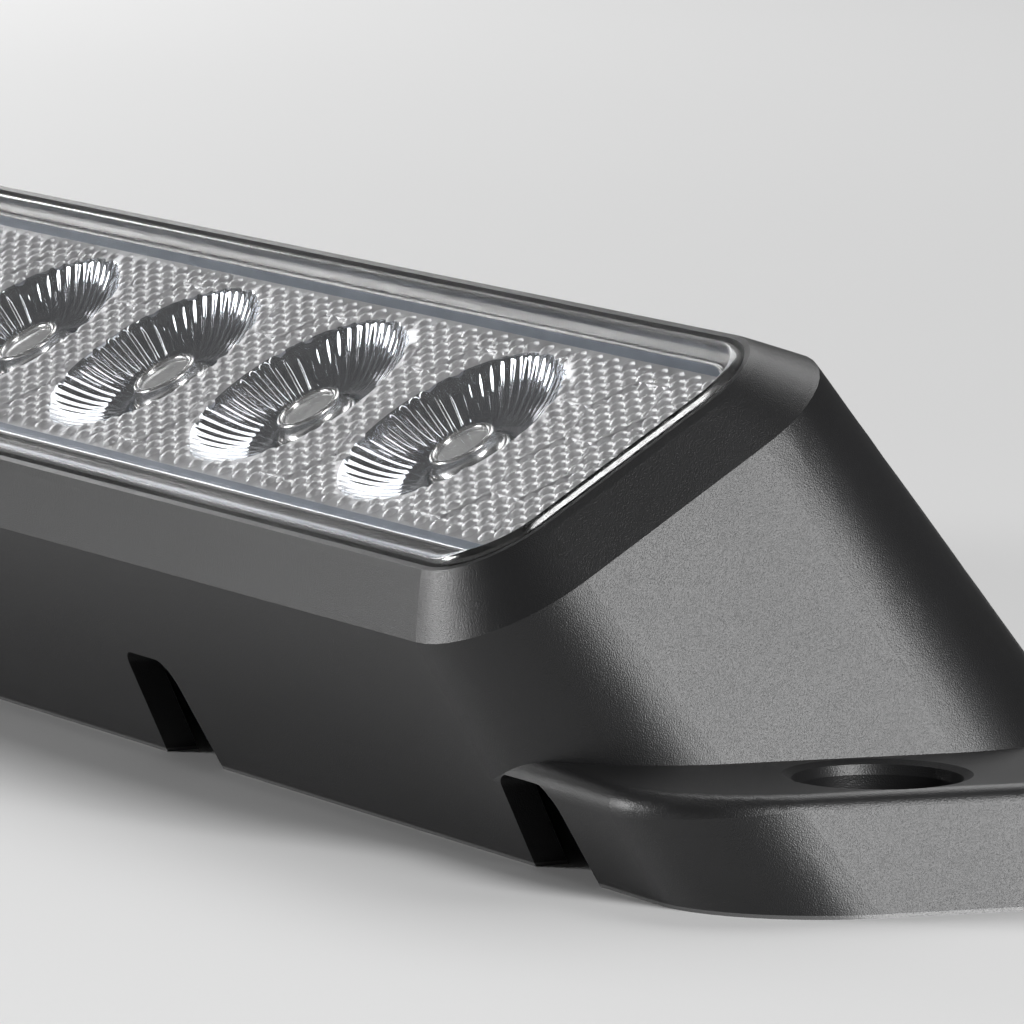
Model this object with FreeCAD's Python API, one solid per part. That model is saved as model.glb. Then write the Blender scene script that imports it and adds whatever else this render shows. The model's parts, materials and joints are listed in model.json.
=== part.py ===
import FreeCAD, Part
import math
import os

Vector = FreeCAD.Vector

# Sizes are millimetres, angles are degrees.
# World frame: X along the light, +Z up, z = 0 the mounting plane,
# x = y = 0 midway between the two mounting holes.
# Head frame: x along the light, y up the tilted lens, z out of the lens, z = 0 at the housing rim.

# Head and lens opening
tilt = 31.0
head_y = -8.0
head_z = 23.5
end_field = 14.0
side_field = 4.1
lens_corner = 5.5

# Housing shell
rim_width = 0.7
rim_round = 0.35
band_depth = 3.15
band_flare = 3.1
crease_corner = 8.0
end_slope = 0.40
front_slope = 0.112
back_slope = 0.02
corner_growth = 0.12
wall = 2.0
ledge_width = 2.2
end_ledge = 8.0
ledge_thickness = 1.8
cavity_corner_share = 0.8
outside_corner_share = 0.5

# Mounting ears
ear_reach = 12.2
ear_height = 6.8
ear_corner = 6.0
ear_round = 1.2
ear_roof = 2.4
ear_wall = 2.0
hole_reach = 15.2
hole_diameter = 6.4
counterbore_diameter = 9.4
counterbore_depth = 3.2
hole_lip = 0.8
boss_wall = 1.8

# Arched notches in the foot of the front wall: one cheek upright, the outer one leaning in
notch_width = 7.7
notch_lean = 0.28
notch_tight_round = 0.9
notch_wide_round = 2.2
inner_notch_height = 6.6
outer_notch_height = 5.7
inner_notch_x = 22.4
outer_notch_inset = 1.4

# Lens cover and its seal
lens_clearance = 0.3
lens_proud = 0.6
lens_thickness = 2.2
lens_edge_round = 1.0
lens_skirt = 1.6
seal_thickness = 0.8

# Reflector
reflector_gap = 0.2
reflector_clearance = 0.2
reflector_plate = 1.2
reflector_rail = 1.0
cup_diameter = 15.4
cup_depth = 2.6
cup_curve = 0.45
cup_wall = 0.8
cup_ring_shares = (0.0, 0.4, 1.0)
flute_count = 32
shell_sides = 12

# LEDs
led_count = 6
led_pitch = 20.0
led_size = 5.0
led_base_height = 0.8
led_collar_diameter = 4.4
led_collar_height = 1.6
led_collar_wall = 0.45
led_clearance = 0.2
window_recess = 0.15
collar_sides = 20

# Board, pad and heat sink
board_thickness = 1.6
board_corner = 3.0
pad_thickness = 0.4
pad_margin = 1.4
sink_clearance = 0.3
sink_plate = 2.5
fin_count = 5
fin_pitch = 3.6
fin_thickness = 1.5
fin_height = 5.2
fin_margin = 1.2

# Board screws and module screws
board_screw_diameter = 2.5
board_screw_depth = 1.9
board_screw_head = 4.6
board_screw_head_height = 1.4
module_screw_diameter = 3.0
module_screw_depth = 2.0
module_screw_head = 5.5
module_screw_head_height = 1.8
screw_clearance = 0.15

# Cable inlet
grommet_diameter = 8.0
grommet_bore = 4.5
grommet_flange = 10.4
grommet_flange_height = 1.2
grommet_length = 6.5
grommet_clearance = 0.1
wire_hole = 4.0

# Drive parts on the ends of the board: length, width, height
chip_size = (5.0, 4.0, 1.5)
inductor_size = (6.0, 6.0, 2.2)
capacitor_size = (3.2, 2.5, 1.6)
capacitor_pitch = 3.6
diode_size = (4.2, 2.6, 2.0)
resistor_size = (2.0, 1.25, 0.5)
resistor_pitch = 2.0
terminal_size = (4.0, 6.4, 2.0)
part_gap = 0.3
part_field_gap = 3.4
lead_pitch = 1.27
lead_size = (0.45, 0.9, 0.25)

# Lens opening around the row of cups, and what follows from it
led_places = [(i - (led_count - 1) / 2) * led_pitch for i in range(led_count)]
lens_length = (led_count - 1) * led_pitch + cup_diameter + 2 * end_field
lens_width = cup_diameter + 2 * side_field
hole_spacing = lens_length + 2 * hole_reach
outer_notch_x = lens_length / 2 - outer_notch_inset

# Stack of the head, from the rim down
reflector_top = lens_proud - lens_thickness - reflector_gap
cup_bottom = reflector_top - cup_depth
led_base_top = cup_bottom - led_clearance
board_top = led_base_top - led_base_height
board_bottom = board_top - board_thickness
sink_top = board_bottom - pad_thickness
ledge_top = sink_top - sink_plate
ledge_bottom = ledge_top - ledge_thickness
skirt_bottom = sink_top + seal_thickness

# Insets of the nested outlines, and the free field of the board inside the reflector's rail
inner_inset = lens_clearance + lens_skirt
reflector_inset = inner_inset + reflector_clearance
rail_inside = lens_width / 2 - reflector_inset - reflector_rail
end_part_x = led_places[-1] + cup_diameter / 2 + part_field_gap + inductor_size[0] / 2
board_screw_places = [-led_pitch, led_pitch]
module_screw_places = [end_ledge / 2 - lens_length / 2, lens_length / 2 - end_ledge / 2]

# Tilt of the head, and how deep its skirt runs to pass the mounting plane
sine = math.sin(math.radians(tilt))
cosine = math.cos(math.radians(tilt))
back_reach = lens_width / 2 + band_flare
foot_depth = (head_z + back_reach * sine) / cosine * (1 + 2 * back_slope) + wall
head = FreeCAD.Placement(Vector(0, head_y, head_z), FreeCAD.Rotation(Vector(1, 0, 0), tilt))


def cut_corners(x_half, front, back, cut, z):
    """The eight points of a rectangle with its corners cut off, from y = -front to y = back."""
    points = []
    for sx, y, turn in ((1, -front, 1), (1, back, -1), (-1, back, 1), (-1, -front, -1)):
        inward = cut if y < 0 else -cut
        along = Vector(sx * (x_half - cut), y, z)
        across = Vector(sx * x_half, y + inward, z)
        points += [along, across] if turn > 0 else [across, along]
    return points


def rounded_wire(x_half, front, back, radius, z):
    """A rectangle with round corners, from y = -front to y = back, at height z."""
    points = cut_corners(x_half, front, back, radius, z)
    bulge = radius * (1 - math.sqrt(0.5))
    edges = []
    for i in range(0, len(points), 2):
        start, end = points[i], points[i + 1]
        sx = math.copysign(1, start.x)
        y = -front + bulge if start.y + end.y < back - front else back - bulge
        edges.append(Part.Arc(start, Vector(sx * (x_half - bulge), y, z), end).toShape())
        edges.append(Part.makeLine(end, points[(i + 2) % len(points)]))
    return Part.Wire(edges)


def cut_wire(x_half, front, back, cut, z):
    """A rectangle with its corners cut off straight."""
    points = cut_corners(x_half, front, back, cut, z)
    return Part.makePolygon(points + points[:1])


def stacked(wires):
    """A solid through matching outlines: flat walls between straight edges, ruled ones between arcs."""
    faces = [Part.Face(wires[0]), Part.Face(wires[-1])]
    for low, high in zip(wires, wires[1:]):
        for start, end in zip(low.Edges, high.Edges):
            if start.Curve.TypeId == "Part::GeomLine":
                corners = [start.valueAt(start.FirstParameter), start.valueAt(start.LastParameter)]
                corners += [end.valueAt(end.LastParameter), end.valueAt(end.FirstParameter)]
                faces.append(Part.Face(Part.makePolygon(corners + corners[:1])))
            else:
                faces.append(Part.makeRuledSurface(start, end))
    shell = Part.makeShell(faces)
    shell.sewShape()
    solid = Part.makeSolid(shell)
    if solid.Volume < 0:
        solid.reverse()
    return solid


def rounded_block(length, width, radius, z_low, z_high):
    """An upright block with round corners, centred on x = y = 0."""
    wire = rounded_wire(length / 2, width / 2, width / 2, radius, z_low)
    return Part.Face(wire).extrude(Vector(0, 0, z_high - z_low))


def opening_block(inset, z_low, z_high):
    """The lens opening's outline, inset all round, between two heights."""
    corner = max(lens_corner - inset, wall)
    return rounded_block(lens_length - 2 * inset, lens_width - 2 * inset, corner, z_low, z_high)


def box(size, centre, z_low):
    """A plain box of length, width and height on a centre point."""
    length, width, height = size
    corner = Vector(centre[0] - length / 2, centre[1] - width / 2, z_low)
    return Part.makeBox(length, width, height, corner)


def cylinder(diameter, height, x, y, z_low):
    return Part.makeCylinder(diameter / 2, height, Vector(x, y, z_low))


def polygon(sides, radius, x, z):
    """A regular polygon around a point on the x axis, at height z."""
    corners = []
    for i in range(sides + 1):
        angle = 2 * math.pi * (i % sides) / sides
        corners.append(Vector(x + radius * math.cos(angle), radius * math.sin(angle), z))
    return Part.makePolygon(corners)


def prism(sides, diameter, height, x, z_low):
    """An upright prism on a regular polygon, measured across its corners."""
    return Part.Face(polygon(sides, diameter / 2, x, z_low)).extrude(Vector(0, 0, height))


def skirt_wire(depth, reach, corner, inset, cut_share):
    """The drafted skirt's outline at a depth below the rim: it widens as it goes down."""
    run = depth - band_depth
    x_half = lens_length / 2 + band_flare + reach + end_slope * run - inset
    front = lens_width / 2 + band_flare + front_slope * run - inset
    back = lens_width / 2 + band_flare + back_slope * run - inset
    radius = corner + corner_growth * run - inset
    if cut_share:
        return cut_wire(x_half, front, back, radius * cut_share, -depth)
    return rounded_wire(x_half, front, back, radius, -depth)


def skirt_block(top_depth, reach, corner, inset, cut_share=0.0):
    """The drafted skirt from a depth down past the mounting plane, in the world frame.

    With a cut share its corners are flat, that share of the round corner's radius."""
    depths = (top_depth, foot_depth)
    block = stacked([skirt_wire(depth, reach, corner, inset, cut_share) for depth in depths])
    block.Placement = head
    return block


def slab(z_low, z_high):
    """Everything between two world heights."""
    span = 2 * (lens_length + ear_reach)
    return Part.makeBox(2 * span, 2 * span, z_high - z_low, Vector(-span, -span, z_low))


def placed(shape):
    """A shape drawn in the head frame, moved to the world frame."""
    moved = shape.copy()
    moved.Placement = head.multiply(moved.Placement)
    return moved


def rim_and_band():
    """The flared band from the rim down to the crease, with a softened rim."""
    half_x = lens_length / 2
    half_y = lens_width / 2
    soft = rim_width - rim_round
    sections = [
        (soft, lens_corner + soft, 0.0),
        (rim_width, lens_corner + rim_width, rim_round),
        (band_flare, crease_corner, band_depth),
    ]
    wires = []
    for grow, corner, depth in sections:
        wires.append(rounded_wire(half_x + grow, half_y + grow, half_y + grow, corner, -depth))
    return placed(stacked(wires))


def ear_blocks():
    """The low block that carries both ears: the skirt's own draft, longer, cut off at the ear height."""
    block = skirt_block(band_depth, ear_reach, ear_corner, 0.0).common(slab(0.0, ear_height))
    top_edges = []
    for edge in block.Edges:
        low = edge.BoundBox.ZMin
        if low > ear_height - ear_round / 4:
            top_edges.append(edge)
    return block.makeFillet(ear_round, top_edges)


def ear_cores(side):
    """The hollow under one ear, open below, around the boss of its hole."""
    inner = skirt_block(band_depth, ear_reach, ear_corner, ear_wall, cavity_corner_share)
    hollow = inner.common(slab(0.0, ear_height - ear_roof))
    body = skirt_block(band_depth, 0.0, crease_corner, 0.0, outside_corner_share)
    boss_diameter = counterbore_diameter + 2 * boss_wall
    boss = cylinder(boss_diameter, ear_height, side * hole_spacing / 2, 0.0, 0.0)
    half = slab(0.0, ear_height)
    half.translate(Vector(side * half.BoundBox.XLength / 2, 0, 0))
    return hollow.cut(body).common(half).cut(boss)


def ear_hole(side):
    """A through hole with a counterbore whose lip is broken by two cones."""
    r_hole = hole_diameter / 2
    r_bore = counterbore_diameter / 2
    floor = ear_height - counterbore_depth
    lip_mid = hole_lip * (1 - math.sqrt(0.5))
    corners = [
        (0, -wall),
        (r_hole, -wall),
        (r_hole, floor),
        (r_bore, floor),
        (r_bore, ear_height - hole_lip),
        (r_bore + lip_mid, ear_height - lip_mid),
        (r_bore + hole_lip, ear_height),
        (0, ear_height),
        (0, -wall),
    ]
    profile = Part.Face(Part.makePolygon([Vector(r, 0, z) for r, z in corners]))
    hole = profile.revolve(Vector(0, 0, 0), Vector(0, 0, 1), 360)
    hole.translate(Vector(side * hole_spacing / 2, 0, 0))
    return hole


def notch(side, x, height):
    """An arched notch through the foot of the front wall, its upright cheek at x."""
    cheek = side * x
    foot = side * (x + notch_width + notch_lean * wall)
    crown = side * (x + notch_width - notch_lean * height)
    y = head_y - lens_width
    corners = [(cheek, -wall), (foot, -wall), (crown, height), (cheek, height), (cheek, -wall)]
    profile = Part.Face(Part.makePolygon([Vector(px, y, pz) for px, pz in corners]))
    cutter = profile.extrude(Vector(0, lens_width, 0))
    for edge_x, radius in ((cheek, notch_tight_round), (crown, notch_wide_round)):
        middle = Part.Vertex(edge_x, y + lens_width / 2, height)
        upper = [edge for edge in cutter.Edges if edge.distToShape(middle)[0] < notch_lean]
        cutter = cutter.makeFillet(radius, upper)
    return cutter


def make_housing():
    shell = skirt_block(band_depth, 0.0, crease_corner, 0.0)
    shell = shell.common(slab(0.0, head_z + lens_length))
    shell = shell.fuse([rim_and_band(), ear_blocks()]).removeSplitter()
    cuts = [skirt_block(-ledge_bottom, 0.0, crease_corner, wall, cavity_corner_share)]
    cuts.append(placed(opening_block(0.0, ledge_top, lens_thickness)))
    window_size = (lens_length - 2 * end_ledge, lens_width - 2 * ledge_width, ledge_thickness + wall)
    cuts.append(placed(box(window_size, (0, 0), ledge_bottom - wall)))
    drill = module_screw_diameter + 2 * screw_clearance
    for x in module_screw_places:
        cuts.append(placed(cylinder(drill, ledge_thickness + 2 * wall, x, 0, ledge_bottom - wall)))
    for side in (-1, 1):
        cuts.append(ear_cores(side))
        cuts.append(ear_hole(side))
        cuts.append(notch(side, inner_notch_x, inner_notch_height))
        cuts.append(notch(side, outer_notch_x, outer_notch_height))
    for cutter in cuts:
        shell = shell.cut(cutter)
    return shell.removeSplitter()


def make_lens_cover():
    lid = opening_block(lens_clearance, skirt_bottom, lens_proud)
    top_edges = [edge for edge in lid.Edges if edge.BoundBox.ZMin > lens_proud - lens_thickness / 2]
    lid = lid.makeFillet(lens_edge_round, top_edges)
    return placed(lid.cut(opening_block(inner_inset, skirt_bottom, lens_proud - lens_thickness)))


def make_lens_seal():
    ring = opening_block(lens_clearance, sink_top, skirt_bottom)
    return placed(ring.cut(opening_block(inner_inset, sink_top, skirt_bottom)))


def cup_radius(share):
    """Radius of a cup's bowl, from its foot (0) to its rim (1)."""
    foot = led_collar_diameter / 2 + led_clearance
    rim = cup_diameter / 2
    return foot + (rim - foot) * (share + cup_curve * share * (1 - share))


def faceted_bowl(x, sides, extra):
    """The bowl of one cup as rings of flat facets, grown by an extra wall."""
    wires = []
    for share in cup_ring_shares:
        z = cup_bottom + share * cup_depth
        wires.append(polygon(sides, cup_radius(share) + extra, x, z))
    return stacked(wires)


def make_reflector():
    plate = opening_block(reflector_inset, board_top, reflector_top)
    under = opening_block(reflector_inset + reflector_rail, board_top, reflector_top - reflector_plate)
    plate = plate.cut(under)
    plate = plate.fuse([faceted_bowl(x, shell_sides, cup_wall) for x in led_places])
    for x in led_places:
        plate = plate.cut(faceted_bowl(x, flute_count, 0.0))
    return placed(plate)


def make_led_board():
    length = lens_length - 2 * reflector_inset
    width = lens_width - 2 * reflector_inset
    board = rounded_block(length, width, board_corner, board_bottom, board_top)
    drill = board_screw_diameter + 2 * screw_clearance
    for x in board_screw_places:
        board = board.cut(cylinder(drill, board_thickness, x, 0, board_bottom))
    return placed(board.cut(cylinder(wire_hole, board_thickness, 0, 0, board_bottom)))


def make_thermal_pad():
    length = lens_length - 2 * (reflector_inset + pad_margin)
    width = lens_width - 2 * (reflector_inset + pad_margin)
    pad = box((length, width, pad_thickness), (0, 0), sink_top)
    for x in board_screw_places:
        pad = pad.cut(cylinder(board_screw_head, pad_thickness, x, 0, sink_top))
    return placed(pad.cut(cylinder(grommet_flange, pad_thickness, 0, 0, sink_top)))


def make_heat_sink():
    sink = opening_block(sink_clearance, ledge_top, sink_top)
    fin_start = grommet_flange / 2 + fin_thickness
    fin_end = lens_length / 2 - end_ledge - fin_margin
    fin_size = (fin_end - fin_start, fin_thickness, fin_height)
    fins = []
    for i in range(fin_count):
        y = (i - (fin_count - 1) / 2) * fin_pitch
        for side in (-1, 1):
            fins.append(box(fin_size, (side * (fin_start + fin_end) / 2, y), ledge_top - fin_height))
    sink = sink.fuse(fins)
    bore = grommet_diameter + 2 * grommet_clearance
    sink = sink.cut(cylinder(bore, sink_plate, 0, 0, ledge_top))
    for x in board_screw_places:
        drill = board_screw_diameter + 2 * screw_clearance
        sink = sink.cut(cylinder(drill, board_screw_depth, x, 0, sink_top - board_screw_depth))
    for x in module_screw_places:
        drill = module_screw_diameter + 2 * screw_clearance
        sink = sink.cut(cylinder(drill, module_screw_depth, x, 0, ledge_top))
    return placed(sink.removeSplitter())


def make_led(x):
    """Ceramic base with a raised round collar."""
    base = box((led_size, led_size, led_base_height), (x, 0), board_top)
    collar = prism(collar_sides, led_collar_diameter, led_collar_height, x, led_base_top)
    bore = led_collar_diameter - 2 * led_collar_wall
    collar = collar.cut(prism(collar_sides, bore, led_collar_height, x, led_base_top))
    return placed(base.fuse(collar).removeSplitter())


def make_led_window(x):
    """The clear plug that fills a collar up to a little below its rim."""
    bore = led_collar_diameter - 2 * led_collar_wall
    return placed(prism(collar_sides, bore, led_collar_height - window_recess, x, led_base_top))


def screw(diameter, shank, head_diameter, head_height):
    """A hexagon-headed screw along +z from its tip."""
    cap = prism(6, head_diameter, head_height, 0, shank)
    return cylinder(diameter, shank, 0, 0, 0).fuse(cap).removeSplitter()


def make_board_screws():
    shank = board_screw_depth + pad_thickness + board_thickness
    screws = []
    for x in board_screw_places:
        one = screw(board_screw_diameter, shank, board_screw_head, board_screw_head_height)
        one.translate(Vector(x, 0, board_top - shank))
        screws.append(one)
    return placed(Part.makeCompound(screws))


def make_module_screws():
    shank = module_screw_depth + ledge_thickness
    screws = []
    for x in module_screw_places:
        one = screw(module_screw_diameter, shank, module_screw_head, module_screw_head_height)
        one.rotate(Vector(0, 0, 0), Vector(1, 0, 0), 180)
        one.translate(Vector(x, 0, ledge_top + module_screw_depth))
        screws.append(one)
    return placed(Part.makeCompound(screws))


def make_cable_grommet():
    """A rubber bush through the heat sink, with a flange against its underside."""
    body = cylinder(grommet_diameter, sink_plate + grommet_length, 0, 0, ledge_top - grommet_length)
    flange = cylinder(grommet_flange, grommet_flange_height, 0, 0, ledge_top - grommet_flange_height)
    bush = body.fuse(flange)
    bore = cylinder(grommet_bore, sink_plate + grommet_length, 0, 0, ledge_top - grommet_length)
    return placed(bush.cut(bore).removeSplitter())


def leaded_block(size, centre, lead_rows):
    """A moulded body with flat leads along its two long sides, standing on the board."""
    length, width, height = size
    lead_length, lead_width, lead_height = lead_size
    pieces = [box(size, centre, board_top)]
    for i in range(lead_rows):
        x = centre[0] + (i - (lead_rows - 1) / 2) * lead_pitch
        for side in (-1, 1):
            y = centre[1] + side * (width + lead_width) / 2
            pieces.append(box((lead_length, lead_width, lead_height), (x, y), board_top))
    return pieces[0].fuse(pieces[1:]).removeSplitter()


def row_y(width):
    """The middle of a row of this width that stands against the reflector's rail."""
    return rail_inside - part_gap - width / 2


def make_driver_chip():
    y = row_y(chip_size[1] + 2 * lead_size[1])
    return placed(leaded_block(chip_size, (-end_part_x, y), 4))


def make_power_inductor():
    return placed(box(inductor_size, (end_part_x, -row_y(inductor_size[1])), board_top))


def row_of_blocks(count, pitch, size, centre):
    """Equal small blocks side by side along y."""
    blocks = []
    for i in range(count):
        y = centre[1] + (i - (count - 1) / 2) * pitch
        blocks.append(box(size, (centre[0], y), board_top))
    return Part.makeCompound(blocks)


def make_filter_capacitors():
    y = row_y(capacitor_pitch + capacitor_size[1])
    return placed(row_of_blocks(2, capacitor_pitch, capacitor_size, (end_part_x, y)))


def make_input_diode():
    """The diode stands midway between the last two LEDs."""
    x = led_places[-1] - led_pitch / 2
    y = row_y(diode_size[1] + 2 * lead_size[1])
    return placed(leaded_block(diode_size, (x, y), 1))


def make_current_resistors():
    """The resistors stand midway between the first two LEDs."""
    x = led_places[0] + led_pitch / 2
    y = row_y(resistor_pitch + resistor_size[1])
    return placed(row_of_blocks(2, resistor_pitch, resistor_size, (x, y)))


def make_wire_terminal():
    """A two-pole terminal with a wire mouth for each pole."""
    length, width, height = terminal_size
    centre = (-end_part_x, -row_y(width))
    block = box(terminal_size, centre, board_top)
    mouth = (length / 2, height / 2, height / 2)
    for side in (-1, 1):
        middle = (centre[0] + length / 4, centre[1] + side * width / 4)
        block = block.cut(box(mouth, middle, board_top + height / 4))
    return placed(block)


nodes = {
    "housing": make_housing(),
    "lens_cover": make_lens_cover(),
    "lens_seal": make_lens_seal(),
    "reflector": make_reflector(),
    "led_board": make_led_board(),
    "thermal_pad": make_thermal_pad(),
    "heat_sink": make_heat_sink(),
    "board_screws": make_board_screws(),
    "module_screws": make_module_screws(),
    "cable_grommet": make_cable_grommet(),
    "driver_chip": make_driver_chip(),
    "power_inductor": make_power_inductor(),
    "filter_capacitors": make_filter_capacitors(),
    "input_diode": make_input_diode(),
    "current_resistors": make_current_resistors(),
    "wire_terminal": make_wire_terminal(),
}
for number, place in enumerate(led_places, start=1):
    nodes[f"led_{number}"] = make_led(place)
    nodes[f"led_window_{number}"] = make_led_window(place)

os.makedirs("parts", exist_ok=True)
for name, shape in nodes.items():
    shape.exportStep(f"parts/{name}.step")
    size = shape.BoundBox
    print(f"{name}: {len(shape.Solids)} solid(s), valid {shape.isValid()}, volume {shape.Volume:.1f} mm3, "
          f"{size.XLength:.2f} x {size.YLength:.2f} x {size.ZLength:.2f} mm")
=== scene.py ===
# %% [markdown]
# # A surface-mount scene light
# The imported model is loaded first, as a fixed frame in metres. Every piece made below is drawn in the
# same frame, so nothing has to be fitted.

# %% Load the frame
import json
import math

import bmesh
import bpy
from mathutils import Matrix, Vector


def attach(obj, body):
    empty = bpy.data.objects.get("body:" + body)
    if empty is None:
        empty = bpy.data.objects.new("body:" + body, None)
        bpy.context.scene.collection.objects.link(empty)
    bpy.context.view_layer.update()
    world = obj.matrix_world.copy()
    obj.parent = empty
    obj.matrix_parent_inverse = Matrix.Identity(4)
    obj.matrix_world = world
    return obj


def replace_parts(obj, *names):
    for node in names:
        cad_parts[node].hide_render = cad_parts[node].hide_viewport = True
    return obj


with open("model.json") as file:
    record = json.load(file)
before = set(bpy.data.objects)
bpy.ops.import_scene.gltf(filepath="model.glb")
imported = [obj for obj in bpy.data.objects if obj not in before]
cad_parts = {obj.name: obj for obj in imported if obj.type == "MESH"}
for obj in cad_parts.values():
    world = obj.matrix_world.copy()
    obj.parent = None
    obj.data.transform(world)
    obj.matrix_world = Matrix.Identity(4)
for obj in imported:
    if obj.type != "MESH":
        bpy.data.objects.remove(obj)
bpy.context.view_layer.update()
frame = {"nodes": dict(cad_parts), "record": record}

MM = 0.001
nodes = frame["nodes"]
scene = bpy.context.scene

# %% [markdown]
# ## The tilted head
# The lens, the reflector and the LEDs lie in planes parallel to the lens, which leans towards -Y.
# They are drawn flat, in a head frame with z = 0 at the rim of the housing, and one matrix then
# turns each finished mesh into place. The object itself stays at the origin, as a CAD node does.

# %% Head frame and main sizes
TILT = math.radians(31.0)
RIM_CENTRE = (0.0, -8.0 * MM, 23.5 * MM)
HEAD = Matrix.Translation(RIM_CENTRE) @ Matrix.Rotation(TILT, 4, "X")
LENS_LENGTH = 143.4 * MM
LENS_WIDTH = 23.6 * MM
LENS_CORNER = 5.5 * MM
LENS_CLEARANCE = 0.3 * MM
LENS_SKIRT = 1.6 * MM
LENS_TOP = 0.4 * MM
LENS_UNDER = -1.6 * MM
SKIRT_FOOT = -6.6 * MM
REFLECTOR_TOP = -1.8 * MM
REFLECTOR_INSET = 2.1 * MM
BOARD_TOP = -5.4 * MM
CUP_RADIUS = 7.7 * MM
CUP_DEPTH = 2.6 * MM
LED_PITCH = 20.0 * MM
LED_COUNT = 6
LED_PLACES = [(i - (LED_COUNT - 1) / 2) * LED_PITCH for i in range(LED_COUNT)]
print("LEDs at x =", [round(x / MM, 1) for x in LED_PLACES], "mm")


# %% [markdown]
# ## Shader maths as Python
# A finish is a node tree. Written by hand that is a long list of links, so a small class wraps an
# output socket and overloads the operators: `1 - mask * 0.4` then adds its own Math nodes. Any other
# node comes from one method, which takes the node's type, its settings and what its sockets get.

# %% Shader helpers
MIX_SHARE, MIX_FIRST, MIX_SECOND, MIX_RESULT = 0, 6, 7, 2


class Value:
    """An output socket of a finish, usable in arithmetic."""

    def __init__(self, finish, socket):
        self.finish = finish
        self.socket = socket

    def _math(self, operation, first, second):
        return self.finish.node("ShaderNodeMath", {"operation": operation}, {0: first, 1: second})

    def __add__(self, other):
        return self._math("ADD", self, other)

    __radd__ = __add__

    def __sub__(self, other):
        return self._math("SUBTRACT", self, other)

    def __rsub__(self, other):
        return self._math("SUBTRACT", other, self)

    def __mul__(self, other):
        return self._math("MULTIPLY", self, other)

    __rmul__ = __mul__

    def __lt__(self, other):
        return self._math("LESS_THAN", self, other)

    def __gt__(self, other):
        return self._math("GREATER_THAN", self, other)


class Finish:
    """One procedural material, with a Principled shader and the nodes that feed it."""

    def __init__(self, name, **constants):
        self.material = bpy.data.materials.new(name)
        self.material.use_nodes = True
        self.tree = self.material.node_tree
        self.shader = self.tree.nodes["Principled BSDF"]
        self.place = self.node("ShaderNodeTexCoord", {}, {}, "Object")
        self.set(**constants)

    def node(self, kind, settings, sockets, output=0):
        """Adds a node: settings first, then a value or a link for each socket named."""
        made = self.tree.nodes.new(kind)
        for key, value in settings.items():
            setattr(made, key, value)
        for key, value in sockets.items():
            self.feed(made.inputs[key], value)
        return Value(self, made.outputs[output])

    def feed(self, socket, value):
        if isinstance(value, Value):
            self.tree.links.new(value.socket, socket)
        else:
            socket.default_value = value

    def noise(self, scale, detail=2.0, place=None):
        """Soft noise; the scale counts its spots per metre."""
        sockets = {"Vector": place or self.place, "Scale": scale, "Detail": detail}
        return self.node("ShaderNodeTexNoise", {}, sockets)

    def mix(self, share, first, second):
        """A colour between two others. A Mix node set to colour has its sockets at these numbers."""
        sockets = {MIX_SHARE: share, MIX_FIRST: first, MIX_SECOND: second}
        return self.node("ShaderNodeMix", {"data_type": "RGBA"}, sockets, MIX_RESULT)

    def bump(self, height, strength, distance):
        sockets = {"Height": height, "Strength": strength, "Distance": distance}
        return self.node("ShaderNodeBump", {}, sockets)

    def let_light_through(self):
        """Lamps shine through: what lies behind the clear piece is lit without long noisy paths."""
        shadow = self.node("ShaderNodeLightPath", {}, {}, "Is Shadow Ray")
        solid = Value(self, self.shader.outputs[0])
        clear = self.node("ShaderNodeBsdfTransparent", {}, {})
        both = self.node("ShaderNodeMixShader", {}, {0: shadow, 1: solid, 2: clear})
        self.tree.links.new(both.socket, self.tree.nodes["Material Output"].inputs["Surface"])
        return self.material

    def set(self, **sockets):
        """Feeds the shader's own sockets, with _ for a space in a socket's name."""
        for socket, value in sockets.items():
            self.feed(self.shader.inputs[socket.replace("_", " ")], value)
        return self.material


def grey(level, blue=0.0):
    """A grey as a colour, with a little more blue where asked."""
    return (level, level, level + blue, 1.0)


print("shader helpers:", Value.__name__, Finish.__name__)

# %% [markdown]
# ## Finishes of the parts that show
# The housing is a black moulding whose tool was spark-eroded: a fine even grain that breaks highlights
# into a soft grey, with a painted highlight along its lowest edge. The lid is clear moulded plastic, with
# flow streaks in its border. The reflector is metallised: a mirror in the cups, duller on the dimpled
# field, where its darker grey is painted shade, and a satin strip along both sides, dim as painted
# shade under the lid's border.
# Every tone and roughness follows a soft noise, because no real surface is one flat colour.

# %% Housing, lens and reflector finishes
GRAIN_SIZE = 0.08 * MM
GRAIN_DEPTH = 0.02 * MM
CLOUD_SCALE = 60.0
FOOT_HIGHLIGHT_HEIGHT = 0.22 * MM
MOULDING_IOR = 1.5
CLEAR_IOR = 1.58
STREAK_STRETCH = (40.0, 900.0, 900.0)
HAZE_SCALE = {
    "clear_plastic": 220.0,
    "mirror_chrome": 900.0,
    "field_chrome": 1500.0,
    "collar_metal": 2500.0,
    "window_gel": 1200.0,
    "margin_satin": 400.0,
}
MIRROR_TONES = (0.78, 0.81, 0.86, 1.0), (0.88, 0.90, 0.93, 1.0)
# Painted shade: the margin strip is the reflector's metal, given dark greys for the shade under the lid's
# border.
SHADED_MARGIN_TONES = (0.16, 0.19, 0.24, 1.0), (0.22, 0.25, 0.30, 1.0)


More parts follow.
